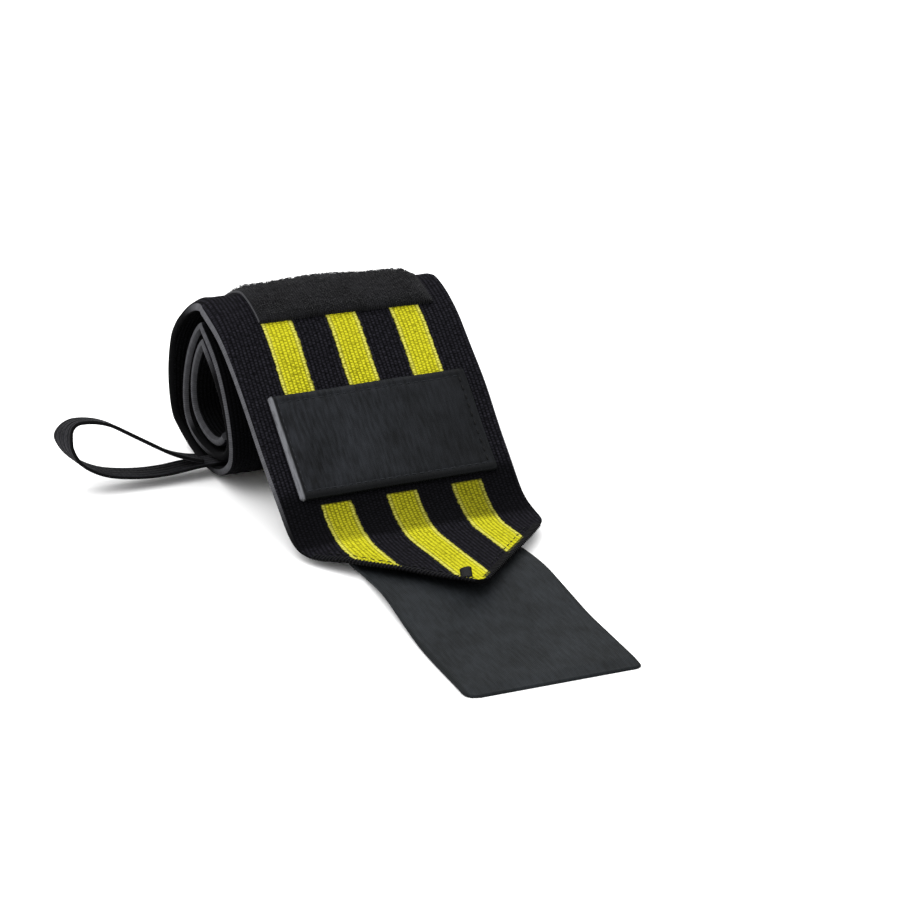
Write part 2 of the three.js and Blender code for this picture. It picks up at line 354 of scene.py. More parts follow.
def tail_line(band):
    foot, normal = band.at(np.array([band.point_from]))
    start = (foot - normal * (OUTER + SEAM_GAP + HOOK_THICK / 2))[0, 1:]
    heading = 180 - POINT_RISE
    gain = travel(heading, [TAIL_SEWN, TAIL_BEND])[1]
    down = heading + TAIL_SEWN[1] + TAIL_BEND[1]
    fall = straight_to(HOOK_THICK / 2 - start[1] - gain, down, [TAIL_LAND])
    rows = [TAIL_SEWN, TAIL_BEND, fall, TAIL_LAND]
    rows.append((TAIL_LENGTH - sum(length for length, _ in rows), 0.0))
    return Line(*walk(start, heading, rows, BAND_STEP))


# Meshes

# An edge's under part and its upper part, as shares of the half thickness, and where the outer face begins
EDGE_UNDER = -0.3
EDGE_UPPER = 0.8
ON_FACE = 0.9
# Power by which the sway of an edge dies out towards the middle
SWAY_POWER = 4
# The places of a strip's materials
OUTSIDE, EDGE, INSIDE, UNDER_EDGE = range(4)


def piece_of(name, places, faces, uvs, materials, face_material, flat_faces=()):
    """A mesh object from points in millimetres, with a cloth map in millimetres at each point."""
    mesh = bpy.data.meshes.new(name)
    mesh.from_pydata(((places + SHIFT) * MM).tolist(), [], faces)
    for material in materials:
        mesh.materials.append(material)
    mesh.polygons.foreach_set("material_index", np.asarray(face_material, np.int32))
    smooth_faces = np.ones(len(faces), bool)
    smooth_faces[list(flat_faces)] = False
    mesh.polygons.foreach_set("use_smooth", smooth_faces)
    corners = np.zeros(len(mesh.loops), np.int32)
    mesh.loops.foreach_get("vertex_index", corners)
    layer = mesh.uv_layers.new(name="cloth", do_init=False)
    layer.uv.foreach_set("vector", np.asarray(uvs, np.float32)[corners].ravel())
    mesh.update()
    piece = bpy.data.objects.new(name, mesh)
    bpy.context.scene.collection.objects.link(piece)
    return piece


def tube_faces(count, sides):
    """Quads round a swept section, with a face over each end."""
    i, k = np.meshgrid(np.arange(count - 1), np.arange(sides), indexing="ij")
    a, b = i * sides + k, i * sides + (k + 1) % sides
    quads = np.stack([a, b, b + sides, a + sides], -1).reshape(-1, 4).tolist()
    last = (count - 1) * sides
    return [*quads, list(range(sides))[::-1], list(range(last, last + sides))]


def strip_section(across, turns):
    """A flat strip's section, anticlockwise from its inner left corner: places across from -1 to 1, the
    side that each point is on, from -1 inside to 1 outside, and how far it bulges out at the edge."""
    inner = np.linspace(-1, 1, across)
    bend = np.radians(np.linspace(-90, 90, turns + 2)[1:-1])
    none, one = np.zeros(across), np.ones(across)
    share = np.concatenate([inner, np.ones(turns), inner[::-1], -np.ones(turns)])
    side = np.concatenate([-one, np.sin(bend), one, -np.sin(bend)])
    bulge = np.concatenate([none, np.cos(bend), none, np.cos(bend)])
    return share, side, bulge


def strip(name, put, along, half, low, high, materials, across, turns, relief=None, edges=None):
    """A closed strip. half and edges are functions of the distance along and the side, low and high of the
    distance along and in from the edge, and relief adds to either face. Materials are for the outer face,
    the edge, the inner face and the under part of the edge."""
    share, side, bulge = strip_section(across, turns)
    s = np.repeat(along[:, None], len(share), 1)
    h = half(s, np.sign(share))
    inset = h * (1 - np.abs(share))
    lo, hi = low(s, inset), high(s, inset)
    round_by = (hi - lo) / 2
    x = share * (h - round_by) + np.sign(share) * bulge * round_by
    if edges is not None:
        x = x + edges(s, np.sign(share)) * np.abs(share) ** SWAY_POWER
    z = (lo + hi) / 2 + side * round_by
    if relief is not None:
        z = z + relief(s, x, side)
    points = put(s.ravel(), x.ravel(), z.ravel())
    faces = tube_faces(len(along), len(share))
    middle = (side + np.roll(side, -1)) / 2
    on_edge = (bulge > 0) | (np.roll(bulge, -1) > 0)
    zone = np.where(middle < EDGE_UNDER, UNDER_EDGE, np.where(middle > EDGE_UPPER, OUTSIDE, EDGE))
    part = np.where(on_edge, zone, np.where(side > 0, OUTSIDE, INSIDE))
    slots = np.tile(part, len(along) - 1).tolist() + [UNDER_EDGE, UNDER_EDGE]
    uvs = np.stack([x.ravel(), s.ravel()], 1)
    return piece_of(name, points, faces, uvs, materials, slots, (len(faces) - 2, len(faces) - 1))


def even(value):
    """One value all along a strip, for its half width or the height of a face."""
    return lambda along, _: np.full_like(along, value)


def waves(seed, count, shortest, longest):
    """A smooth seeded unevenness of about unit size over a strip's length and width."""
    rng = np.random.default_rng(seed)
    size = rng.uniform(shortest, longest, count)
    turn = rng.uniform(0, math.pi, count)
    phase = rng.uniform(0, 2 * math.pi, count)

    def height(s, x):
        total = np.zeros(np.broadcast(s, x).shape)
        for length, angle, start in zip(size, turn, phase):
            total += np.sin(2 * math.pi * (s * math.sin(angle) + x * math.cos(angle)) / length + start)
        return total / math.sqrt(count)
    return height


# Threads and fibres

# A direction that no thread follows, and the share of a thread's radius at its ends
THREAD_ASIDE = np.array([0.31, 0.53, 0.79])
THREAD_END = 0.45
STITCH_POINTS = 6
STITCH_DIP = 0.35


def threads(name, paths, radius, material, sides=5):
    """Short rounded threads, each along a row of points."""
    count, rows = paths.shape[:2]
    travel_way = np.gradient(paths, axis=1)
    travel_way /= np.linalg.norm(travel_way, axis=2, keepdims=True)
    aside = np.cross(travel_way, THREAD_ASIDE)
    aside /= np.linalg.norm(aside, axis=2, keepdims=True)
    up = np.cross(travel_way, aside)
    taper = np.ones(rows)
    taper[[0, -1]] = THREAD_END
    angle = np.arange(sides) * 2 * math.pi / sides
    ring = np.cos(angle)[:, None] * aside[:, :, None] + np.sin(angle)[:, None] * up[:, :, None]
    points = paths[:, :, None] + ring * (radius * taper)[None, :, None, None]
    one = tube_faces(rows, sides)
    faces = [[v + n * rows * sides for v in face] for n in range(count) for face in one]
    uvs = np.zeros((count * rows * sides, 2))
    uvs[:, 1] = np.tile(np.repeat(np.linspace(0, 1, rows), sides), count)
    return piece_of(name, points.reshape(-1, 3), faces, uvs, [material], np.zeros(len(faces), int))


def stitch_paths(put, corners, height, pitch=2.7, length=2.1):
    """Stitches along straight rows between corners, each given as distance along and across."""
    found = []
    dip = STITCH_DIP * np.linspace(-1, 1, STITCH_POINTS) ** 4
    for (s0, x0), (s1, x1) in zip(corners[:-1], corners[1:]):
        count = max(1, round(math.hypot(s1 - s0, x1 - x0) / pitch))
        reach = length / pitch / count
        for i in range(count):
            middle = (i + 0.5) / count
            t = np.linspace(middle - reach / 2, middle + reach / 2, STITCH_POINTS)
            found.append(put(mix(s0, s1, t), mix(x0, x1, t), height - dip))
    return np.array(found)


# Materials

class Shader:
    """A procedural cloth material, with its pattern in millimetres across and along the cloth."""

    SHEEN_ROUGHNESS = 0.45
    # Sockets of a mix node that are for colours
    MIX_FIRST, MIX_SECOND, MIX_RESULT = 6, 7, 2

    def __init__(self, name, roughness, sheen=0.0, gloss=0.1):
        self.material = bpy.data.materials.new(name)
        self.material.use_nodes = True
        self.tree = self.material.node_tree
        self.surface = self.tree.nodes["Principled BSDF"]
        self.surface.inputs["Roughness"].default_value = roughness
        self.surface.inputs["Sheen Weight"].default_value = sheen
        self.surface.inputs["Sheen Roughness"].default_value = self.SHEEN_ROUGHNESS
        self.surface.inputs["Specular IOR Level"].default_value = gloss

    def feed(self, socket, value):
        if isinstance(value, bpy.types.NodeSocket):
            self.tree.links.new(value, socket)
        else:
            socket.default_value = value

    def math(self, operation, *values):
        node = self.tree.nodes.new("ShaderNodeMath")
        node.operation = operation
        for socket, value in zip(node.inputs, values):
            self.feed(socket, value)
        return node.outputs[0]

    def plus(self, a, b):
        return self.math("ADD", a, b)

    def minus(self, a, b):
        return self.math("SUBTRACT", a, b)

    def times(self, a, b):
        return self.math("MULTIPLY", a, b)

    def most(self, a, b):
        return self.math("MAXIMUM", a, b)

    def size(self, value):
        return self.math("ABSOLUTE", value)

    def cloth(self):
        """Places across and along the cloth."""
        node = self.tree.nodes.new("ShaderNodeUVMap")
        node.uv_map = "cloth"
        split = self.tree.nodes.new("ShaderNodeSeparateXYZ")
        self.tree.links.new(node.outputs[0], split.inputs[0])
        return split.outputs[0], split.outputs[1]

    def noise(self, scale, detail=3.0, stretch=(1.0, 1.0)):
        x, y = self.cloth()
        join = self.tree.nodes.new("ShaderNodeCombineXYZ")
        self.feed(join.inputs[0], self.times(x, stretch[0]))
        self.feed(join.inputs[1], self.times(y, stretch[1]))
        node = self.tree.nodes.new("ShaderNodeTexNoise")
        node.inputs["Scale"].default_value = scale
        node.inputs["Detail"].default_value = detail
        self.tree.links.new(join.outputs[0], node.inputs["Vector"])
        return node.outputs["Fac"]

    def step(self, value, low, high):
        """From 0 at low to 1 at high, eased."""
        node = self.tree.nodes.new("ShaderNodeMapRange")
        node.interpolation_type = "SMOOTHSTEP"
        self.feed(node.inputs["Value"], value)
        node.inputs["From Min"].default_value = low
        node.inputs["From Max"].default_value = high
        return node.outputs[0]

    def span(self, start, full, fade, end):
        """1 over a span along the cloth, eased at both ends."""
        _, y = self.cloth()
        return self.times(self.step(y, start, full), self.step(y, end, fade))

    def blend(self, share, a, b):
        node = self.tree.nodes.new("ShaderNodeMix")
        node.data_type = "RGBA"
        self.feed(node.inputs["Factor"], share)
        self.feed(node.inputs[self.MIX_FIRST], a)
        self.feed(node.inputs[self.MIX_SECOND], b)
        return node.outputs[self.MIX_RESULT]

    def arch(self, value):
        """A parabola over each whole step of a value, 0 at its ends and 1 in its middle."""
        middle = self.minus(self.math("FRACT", value), 0.5)
        return self.minus(1.0, self.times(self.times(middle, middle), 4.0))

    def cells(self, width, length):
        """Height of rounded yarn cells in columns, alternate columns half a cell along."""
        x, y = self.cloth()
        column = self.math("DIVIDE", x, width)
        odd = self.math("FLOORED_MODULO", self.math("FLOOR", column), 2.0)
        row = self.plus(self.math("DIVIDE", y, length), self.times(odd, 0.5))
        return self.times(self.arch(column), self.math("SQRT", self.arch(row)))

    def finish(self, colour, height, depth):
        self.feed(self.surface.inputs["Base Color"], colour)
        bump = self.tree.nodes.new("ShaderNodeBump")
        bump.inputs["Strength"].default_value = 1.0
        bump.inputs["Distance"].default_value = depth * MM
        self.feed(bump.inputs["Height"], height)
        self.tree.links.new(bump.outputs[0], self.surface.inputs["Normal"])
        return self.material


def stripes(shader, lift, worn):
    """Where the stripes are, and their colour: paler along their borders."""
    x, _ = shader.cloth()
    ripple = shader.times(shader.minus(shader.noise(scale=0.8, detail=2.0), 0.5), STRIPE_RIPPLE)
    turn = shader.math("FLOORED_MODULO", shader.plus(x, STRIPES_REACH), STRIPE_PITCH)
    off = shader.plus(shader.size(shader.minus(turn, STRIPE_PITCH / 2)), ripple)
    inside = shader.step(off, STRIPE_HALF + STRIPE_BLUR, STRIPE_HALF - STRIPE_BLUR)
    near = shader.math("LESS_THAN", shader.size(x), STRIPES_REACH)
    shade = shader.step(shader.plus(lift, shader.times(worn, STRIPE_WORN)), 0.0, STRIPE_FULL)
    yellow = shader.blend(shade, tone("stripe_valley"), tone("stripe"))
    pale = shader.blend(shade, tone("stripe_valley"), tone("stripe_pale"))
    rim = shader.step(off, *[STRIPE_HALF - inset for inset in STRIPE_RIM])
    return shader.times(inside, near), shader.blend(shader.times(rim, STRIPE_RIM_SHARE), yellow, pale)


def cut_edge(shader, inset):
    """1 within a distance of the cut edges of the point."""
    x, y = shader.cloth()
    to_tip = shader.minus(band.length, y)
    near = 0.0
    for way, fall in POINT_FALL.items():
        half = shader.plus(POINT_BLUNT, shader.times(to_tip, fall))
        beside = shader.minus(half, shader.times(x, float(way)))
        from_edge = shader.math("DIVIDE", beside, math.hypot(1, fall))
        near = shader.most(near, shader.step(from_edge, inset + HEM_BLUR, inset - HEM_BLUR))
    return near


def band_material(name, kind, shade_span=None, deep_shade_span=None, label_shadow=None):
    """Knitted elastic, with stripes where a span of painted shade is given: start, full, fade and end,
    where the cloth lies in shade. The second span is a like one of deeper painted shade, and the third is a
    painted shadow under the label, which hides the stripes there."""
    shader = Shader(name, roughness=0.9, gloss=0.02)
    yarn = shader.cells(*BAND_CELL)
    lift = shader.times(yarn, shader.step(shader.noise(scale=0.9, detail=4.0), *BAND_FLECK))
    valley = tone("band_valley")
    colour = shader.blend(lift, tone(kind + "_valley"), tone(kind + "_ridge"))
    if shade_span is not None:
        x, _ = shader.cloth()
        # Painted shade over a span from the label to the foot, on the cloth and on the stripes, stronger on
        # the stripes towards the right
        span, deep_shaded = shader.span(*shade_span), shader.span(*deep_shade_span)
        depth = shader.plus(SHADE_ON_STRIPES, shader.times(shader.step(x, *SHADE_SIDES), SHADE_ON_STRIPES_RIGHT))
        mask, yellow = stripes(shader, lift, shader.noise(scale=0.05))
        yellow = shader.blend(shader.times(span, depth), yellow, valley)
        colour = shader.blend(shader.times(span, SHADE_ON_CLOTH), colour, valley)
        # The stripes are hidden by the point's dark hem and by the painted shadow under the label
        hem_or_shadow = shader.most(cut_edge(shader, POINT_HEM), shader.span(*label_shadow))
        colour = shader.blend(shader.times(mask, shader.minus(1.0, hem_or_shadow)), colour, yellow)
        # Deep painted shade over the roll where it lies in the dark under the run
        colour = shader.blend(shader.times(deep_shaded, DEEP_SHADE_SHARE), colour, valley)
    return shader.finish(colour, yarn, depth=0.35)


def edge_material(name, highlight_spans):
    """Selvedge: close turns of thread across it, with a painted highlight in the given spans along the
    cloth, where light catches the edge.
    """
    shader = Shader(name, roughness=0.85, gloss=0.025)
    _, y = shader.cloth()
    wave = shader.math("SINE", shader.times(y, SELVEDGE_TURNS))
    turns = shader.plus(shader.times(wave, SELVEDGE_RELIEF), SELVEDGE_MEAN)
    pale = 0.0
    for *span, share in highlight_spans:
        pale = shader.plus(pale, shader.times(shader.span(*span), share))
    fleck = shader.plus(SELVEDGE_FLECK, shader.noise(scale=0.5))
    lit = shader.times(shader.times(turns, pale), fleck)
    return shader.finish(shader.blend(lit, tone("edge_dark"), tone("edge_highlight")), turns, depth=0.15)


def weave(shader, kind, cell):
    """Colour, height and fleck of a fine weave, which has yarn cells and a slow change of tone."""
    yarn = shader.cells(*cell)
    fleck = shader.step(shader.noise(scale=1.1, detail=4.0, stretch=FLECK_STRETCH), *FLECK_SPAN)
    cloud = shader.step(shader.noise(scale=0.07, detail=4.0), *CLOUD_SPAN)
    share = shader.plus(shader.times(yarn, WEAVE_YARN), shader.times(fleck, WEAVE_FLECK))
    share = shader.plus(share, shader.times(shader.minus(cloud, CLOUD_MEAN), WEAVE_CLOUD))
    return shader.blend(share, tone(kind + "_valley"), tone(kind + "_ridge")), yarn, fleck


def woven_material(name, kind, cell, depth, roughness, sheen=0.0, border=None):
    """Fine weave, darker further out than a border where that is given."""
    shader = Shader(name, roughness, sheen, gloss=0.05)
    colour, yarn, _ = weave(shader, kind, cell)
    if border is not None:
        x, _ = shader.cloth()
        outer = shader.step(shader.size(x), border - BORDER_BLUR, border + BORDER_BLUR)
        colour = shader.blend(shader.times(outer, BORDER_SHADE), colour, tone(kind + "_valley"))
    return shader.finish(colour, yarn, depth)


def label_material(name, fold, hem):
    """Smooth weave, with painted shade towards the right. Left of the place given as fold its edge is pale,
    a painted highlight, with painted shade in a groove beside it, and after the distance along given as hem
    it is dark."""
    shader = Shader(name, roughness=0.6, gloss=0.05)
    colour, yarn, fleck = weave(shader, "label", cell=(0.4, 0.9))
    x, y = shader.cloth()
    # Painted shade in a groove beside the fold
    groove = shader.step(x, *[fold + inset for inset in LABEL_GROOVE_SHADE])
    rim = shader.most(groove, shader.step(y, hem - LABEL_BLUR, hem + LABEL_BLUR))
    # Painted shade, darker towards the label's right
    shade = shader.times(shader.step(x, *LABEL_PAINTED_SHADE_SIDES), LABEL_PAINTED_SHADE)
    shade = shader.most(shade, shader.times(rim, LABEL_RIM_SHADE))
    colour = shader.blend(shade, colour, tone("label_valley"))
    # Painted highlight on the fold along the label's left edge
    folded = shader.step(x, fold + LABEL_BLUR, fold - LABEL_BLUR)
    pale = shader.times(folded, shader.plus(LABEL_FOLD_HIGHLIGHT, fleck))
    return shader.finish(shader.blend(pale, colour, tone("label_fold_highlight")), yarn, depth=0.05)


def plain_material(name, colour, roughness, grain, sheen=0.0):
    shader = Shader(name, roughness, sheen)
    fleck = shader.noise(grain)
    dark = tuple(PLAIN_DARK * c for c in tone(colour)[:3]) + (1.0,)
    return shader.finish(shader.blend(fleck, dark, tone(colour)), fleck, depth=0.15)


# Pieces

band = band_line()
tail = tail_line(band)
at_angle = band.angle_along
sag = waves(seed=11, count=7, shortest=22.0, longest=60.0)
edge_sway = waves(seed=12, count=5, shortest=25.0, longest=70.0)

# The roll's top sinks towards its right end over a span of the band
TOP_SINK = 1.3
SINK_SPAN = (at_angle(690.0), at_angle(770.0), band.leave + 12.0, band.leave + 45.0)
# The roll's top is crowned, most a little right of its middle
TOP_CROWN = 1.4
CROWN_SIDE = 4.0
CROWN_HALF = 17.0
CROWN_SPAN = (at_angle(690.0), at_angle(770.0), at_angle(770.0), band.leave + 20.0)
# Slight waves die out where the roll stands on the floor
WAVE_HEIGHT = 0.18
STANDS_AT = at_angle(630.0)
STANDS_REACH = 16.0
# The left margin droops to the floor beside the point
FOOT_DROOP = 1.7
DROOP_FROM = 24.0
DROOP_AT = band.point_from - 3.0
DROOP_REACH = 12.0
# The left edges stand out towards the top of the roll, and the outer turn's curls down there
ROLL_HEIGHT = 57.0
LEFT_FLARE = 2.7
FLARE_EASE = 1.6
LEFT_CURL = 2.4
CURL_REACH = 5.0
CURL_SPAN = (at_angle(725.0), at_angle(770.0), band.leave + 4.0, band.leave + 34.0)
# The left edge also stands out on the roll's back shoulder
SHOULDER_FLARE = 1.8
SHOULDER_AT = at_angle(763.0)
SHOULDER_REACH = 10.0
EDGE_SWAY = 0.35
# Ridge along an edge and groove beside it: height, distance in from the edge and reach
RIDGE_HEIGHT, RIDGE_INSET, RIDGE_REACH = 0.14, 2.0, 1.1
GROOVE_DEPTH, GROOVE_INSET, GROOVE_REACH = 0.16, 4.0, 0.7
STRIPE_RAISE = 0.1
STRIPE_RAISE_EASE = 0.8


def clear_of_floor(along):
    return 1 - bell(along, STANDS_AT, STANDS_REACH)


def foot_droop(along, side):
    beside = smooth((-side - DROOP_FROM) / (BAND_HALF - DROOP_FROM))
    return FOOT_DROOP * beside * bell(along, DROOP_AT, DROOP_REACH)


def on_band(along, side, height):
    """On the band, with its slight unevenness."""
    crown = TOP_CROWN * eased_span(along, *CROWN_SPAN) * bell(side, CROWN_SIDE, CROWN_HALF)
    wave = WAVE_HEIGHT * clear_of_floor(along) * sag(along, side)
    lowered = TOP_SINK * eased_span(along, *SINK_SPAN) * side / BAND_HALF + foot_droop(along, side)
    return band.put(along, side, height + crown + wave - lowered)


def point_half(along, way):
    """Half the band's width, narrowing to the point."""
    pointed = POINT_BLUNT + np.where(way < 0, POINT_FALL[-1], POINT_FALL[1]) * (band.length - along)
    return (BAND_HALF + pointed - np.hypot(BAND_HALF - pointed, POINT_ROUND)) / 2


def band_inner(along, inset):
    """The inner face, which rises towards the edges of the point."""
    pointed = smooth((along - band.point_from + POINT_EDGE_LEAD) / POINT_EDGE_EASE)
    thin = (1 - smooth(inset / POINT_EDGE_REACH)) * pointed
    return INNER + thin * (BAND_THICK - POINT_EDGE_THICK)


def selvedge_relief(along, side, face):
    """A ridge along each edge with a groove beside it, slightly raised stripes outside, and the curled left
    edge."""
    curled = smooth((-side - BAND_HALF - LEFT_FLARE + CURL_REACH) / CURL_REACH)
    curl = LEFT_CURL * eased_span(along, *CURL_SPAN) * curled
    from_edge = point_half(along, side) - np.abs(side)
    ridge = RIDGE_HEIGHT * bell(from_edge, RIDGE_INSET, RIDGE_REACH)
    groove = GROOVE_DEPTH * bell(from_edge, GROOVE_INSET, GROOVE_REACH)
    off = np.abs((side + STRIPES_REACH) % STRIPE_PITCH - STRIPE_PITCH / 2)
    raised = smooth((STRIPE_HALF - off) / STRIPE_RAISE_EASE + 0.5) * (np.abs(side) < STRIPES_REACH)
    stripe = np.where(face > ON_FACE, STRIPE_RAISE * raised, 0.0)
    return clear_of_floor(along) * (face * (ridge - groove) + stripe) - curl


def sway(along, way):
    """How far the edges wander, the left one also outwards at the roll's top, front and back shoulder."""
    place, normal = band.at(along)
    facing = smooth((1.0 - normal[..., 1]) / FLARE_EASE)
    shoulder = SHOULDER_FLARE * bell(along, SHOULDER_AT, SHOULDER_REACH)
    flare = np.where(way < 0, LEFT_FLARE * facing * place[..., 2] / ROLL_HEIGHT + shoulder, 0.0)
    return EDGE_SWAY * edge_sway(along, way * BAND_HALF) - flare


# Spans along the band: start, full, fade and end, and for the edges how strong their painted highlight is
# there
label_from = band.leave + LABEL_TOP
label_to = label_from + LABEL_LENGTH
# Painted shade from the label down to the lit part of the foot
PAINTED_SHADE = (label_to - 6.0, label_to, band.lit_from - 2.0, band.lit_from + 2.0)
# Deep painted shade over a span of the roll that lies in the dark under the run
PAINTED_DEEP_SHADE = tuple(at_angle(angle) for angle in (430.0, 460.0, 640.0, 665.0))
# Painted shadow on the band under the label's lower edge, which hides the stripes there
LABEL_SHADOW = (label_to - 1.5, label_to - 1.0, label_to + 1.9, label_to + 2.8)
# Edges painted pale where light catches them, and left dark where they lie in shade
EDGE_HIGHLIGHT = [
    (-20.0, -10.0, at_angle(95.0), at_angle(140.0), 0.6),
    (at_angle(250.0), at_angle(300.0), at_angle(570.0), at_angle(640.0), 0.6),
    (at_angle(770.0), at_angle(796.0), band.leave + 66.0, band.leave + 92.0, 0.78),
]
UNDER_EDGE_HIGHLIGHT = [
    (-20.0, -10.0, at_angle(40.0), at_angle(80.0), 0.4),
    (at_angle(290.0), at_angle(320.0), at_angle(400.0), at_angle(440.0), 0.4),
]
band_cloths = [
    band_material("band_outside", "band", PAINTED_SHADE, PAINTED_DEEP_SHADE, LABEL_SHADOW),
    edge_material("band_selvedge", EDGE_HIGHLIGHT),
    # The inner face carries the band's cloth painted darker, as painted shade
    band_material("band_inside_shaded", "inside"),
    edge_material("band_under_edge", UNDER_EDGE_HIGHLIGHT),
]
band_piece = strip(
    "band_cloth", on_band, band.along, point_half, band_inner, even(OUTER), band_cloths,
    across=40, turns=5, relief=selvedge_relief, edges=sway)

# Label, with a painted highlight on a fold along its left edge, a hem along its lower one and a row of
# stitches in from its rim
LABEL_CORNER = 0.8
LABEL_FOLD = 1.4
LABEL_HEM = 2.2
LABEL_ROW = 2.6
LABEL_ROW_DEPTH = 0.18
LABEL_ROW_REACH = 0.6
LABEL_RIM_DROP = 0.45
LABEL_RIM_REACH = 1.2
# Close stations near both ends and wider ones between
LABEL_END = 3.5
LABEL_END_COUNT = 10
LABEL_MIDDLE = 4.0
LABEL_MIDDLE_COUNT = 40
label_top = OUTER + SEAM_GAP + LABEL_THICK


def label_half(along, way):
    into = np.maximum(0.0, LABEL_CORNER - np.minimum(along - label_from, label_to - along))
    return LABEL_WIDTH / 2 - LABEL_CORNER + np.sqrt(np.maximum(0.0, LABEL_CORNER ** 2 - into ** 2))


def label_crown(along, side, face):
    """The face drops at its rim and along the stitch line."""
    rim = np.minimum(np.minimum(along - label_from, label_to - along), LABEL_WIDTH / 2 - np.abs(side))
    drop = LABEL_RIM_DROP * (1 - smooth(rim / LABEL_RIM_REACH))
    drop = drop + LABEL_ROW_DEPTH * bell(rim, LABEL_ROW, LABEL_ROW_REACH)
    return np.where(face > ON_FACE, -drop, 0.0)


label_woven = label_material("label_weave", LABEL_FOLD - LABEL_WIDTH / 2, label_to - LABEL_HEM)
label_stations = np.concatenate([
    label_from + np.linspace(0, LABEL_END, LABEL_END_COUNT),
    np.linspace(label_from + LABEL_MIDDLE, label_to - LABEL_MIDDLE, LABEL_MIDDLE_COUNT),
    label_to - np.linspace(LABEL_END, 0, LABEL_END_COUNT),
])
label_piece = strip(
    "label_plate", on_band, label_stations, label_half, even(OUTER - SEWN_IN), even(label_top),
    [label_woven] * 4, across=64, turns=4, relief=label_crown)

# Pile tape, set a little to the right, with a bare woven border along its sides
PILE_SHIFT = 2.25
PILE_HALF = TAPE_WIDTH / 2 + PILE_SHIFT
PILE_BORDER = 3.0
PILE_BORDER_THICK = 0.9
PILE_BORDER_TOP = OUTER + SEAM_GAP + PILE_BORDER_THICK
PILE_END_START = 0.6
PILE_STEPS = 110
# Height that the tape's ground leaves to its loops
PILE_LOOP_ROOM = 1.0
pile_from = at_angle(PILE_BACK_FACING)
pile_to = band.leave + PILE_FRONT
pile_base = OUTER + SEAM_GAP + PILE_THICK - PILE_LOOP_ROOM


def on_pile(along, side, height):
    return on_band(along, side + PILE_SHIFT, height)


def pile_ground_top(along, inset):
    """The tape's top, lower along its sides and its ends."""
    inset = np.minimum(inset, np.minimum(along - pile_from, pile_to - along) + PILE_END_START)
    return mix(PILE_BORDER_TOP, pile_base, smooth(inset / PILE_BORDER))


pile_ground = woven_material("pile_ground", "pile", cell=(0.8, 0.8), depth=0.4, roughness=0.9, sheen=0.03)
# The tape's side edges: painted highlight where they catch light
pile_edge_highlight = plain_material("pile_edge_highlight", "pile_edge_highlight", roughness=0.8, grain=1.5)
pile_piece = strip(
    "pile_tape", on_pile, np.linspace(pile_from, pile_to, PILE_STEPS), even(PILE_HALF),
    even(OUTER - SEWN_IN), pile_ground_top, [pile_ground, pile_edge_highlight, pile_ground, pile_ground],
    across=60, turns=4)

# Loops of the pile: half rounds that turn and lean any way, lower towards the sides
LOOP_COUNT = 5200
LOOP_POINTS = 5
LOOP_SEED = 21
LOOP_SIZE = (0.35, 0.75)
LOOP_LEAN = 0.35
LOOP_SIDE_SHARE = 0.5
LOOP_END_MARGIN = 0.6
LOOP_SIDE_MARGIN = 1.6
LOOP_GROUND_INSET = 1.0
LOOP_SUNK = 0.12
rng = np.random.default_rng(LOOP_SEED)
loop_s = rng.uniform(pile_from + LOOP_END_MARGIN, pile_to - LOOP_END_MARGIN, LOOP_COUNT)
loop_x = rng.uniform(-PILE_HALF + LOOP_SIDE_MARGIN, PILE_HALF - LOOP_SIDE_MARGIN, LOOP_COUNT)
loop_turn = rng.uniform(0, 2 * math.pi, LOOP_COUNT)
loop_reach = rng.uniform(*LOOP_SIZE, LOOP_COUNT)
loop_inset = PILE_HALF - np.abs(loop_x)
loop_share = mix(LOOP_SIDE_SHARE, 1.0, smooth(loop_inset / PILE_BORDER))
loop_rise = rng.uniform(*LOOP_SIZE, LOOP_COUNT) * loop_share
loop_lean = rng.normal(0, LOOP_LEAN, (LOOP_COUNT, 2))
arc = np.linspace(0, math.pi, LOOP_POINTS)
loop_along = loop_reach[:, None] * np.cos(arc)
loop_high = loop_rise[:, None] * np.sin(arc)
loop_places = on_pile(
    loop_s[:, None] + loop_along * np.sin(loop_turn)[:, None] + loop_high * loop_lean[:, :1],
    loop_x[:, None] + loop_along * np.cos(loop_turn)[:, None] + loop_high * loop_lean[:, 1:],
    pile_ground_top(loop_s, loop_inset - LOOP_GROUND_INSET)[:, None] - LOOP_SUNK + loop_high)
pile_fibre = plain_material("pile_fibre", "pile_ridge", roughness=0.7, grain=2.0, sheen=0.08)
fuzz_piece = threads("pile_fuzz", loop_places, radius=0.085, material=pile_fibre, sides=3)

# Hook tail, drawn in on its left towards the seam
TAIL_STEPS = 150
TAIL_DRAW = 3.0
TAIL_DRAW_REACH = 75.0
# Corner radii on the left and the right, and how much the end is pressed thin
TAIL_CORNERS = (4.0, 1.5)
TAIL_THIN = 0.7
TAIL_THIN_REACH = 6.0
# A flat selvedge strip, with a fine groove beside it
TAIL_SELVEDGE = 1.3
TAIL_GROOVE_DEPTH, TAIL_GROOVE_INSET, TAIL_GROOVE_REACH = 0.12, 2.4, 0.4


def tail_half(along, way):
    corner = np.where(way < 0, *TAIL_CORNERS)
    into = np.maximum(0.0, corner - (TAIL_LENGTH - along))
    return TAPE_WIDTH / 2 - corner + np.sqrt(np.maximum(0.0, corner ** 2 - into ** 2))


def tail_top(along, inset):
    """The outer face, which thins towards the cut end."""
    return HOOK_THICK / 2 - TAIL_THIN * (1 - smooth((TAIL_LENGTH - along) / TAIL_THIN_REACH))


def tail_relief(along, side, face):
    from_edge = tail_half(along, side) - np.abs(side)
    groove = TAIL_GROOVE_DEPTH * bell(from_edge, TAIL_GROOVE_INSET, TAIL_GROOVE_REACH)
    return np.where(face > ON_FACE, -groove, 0.0)


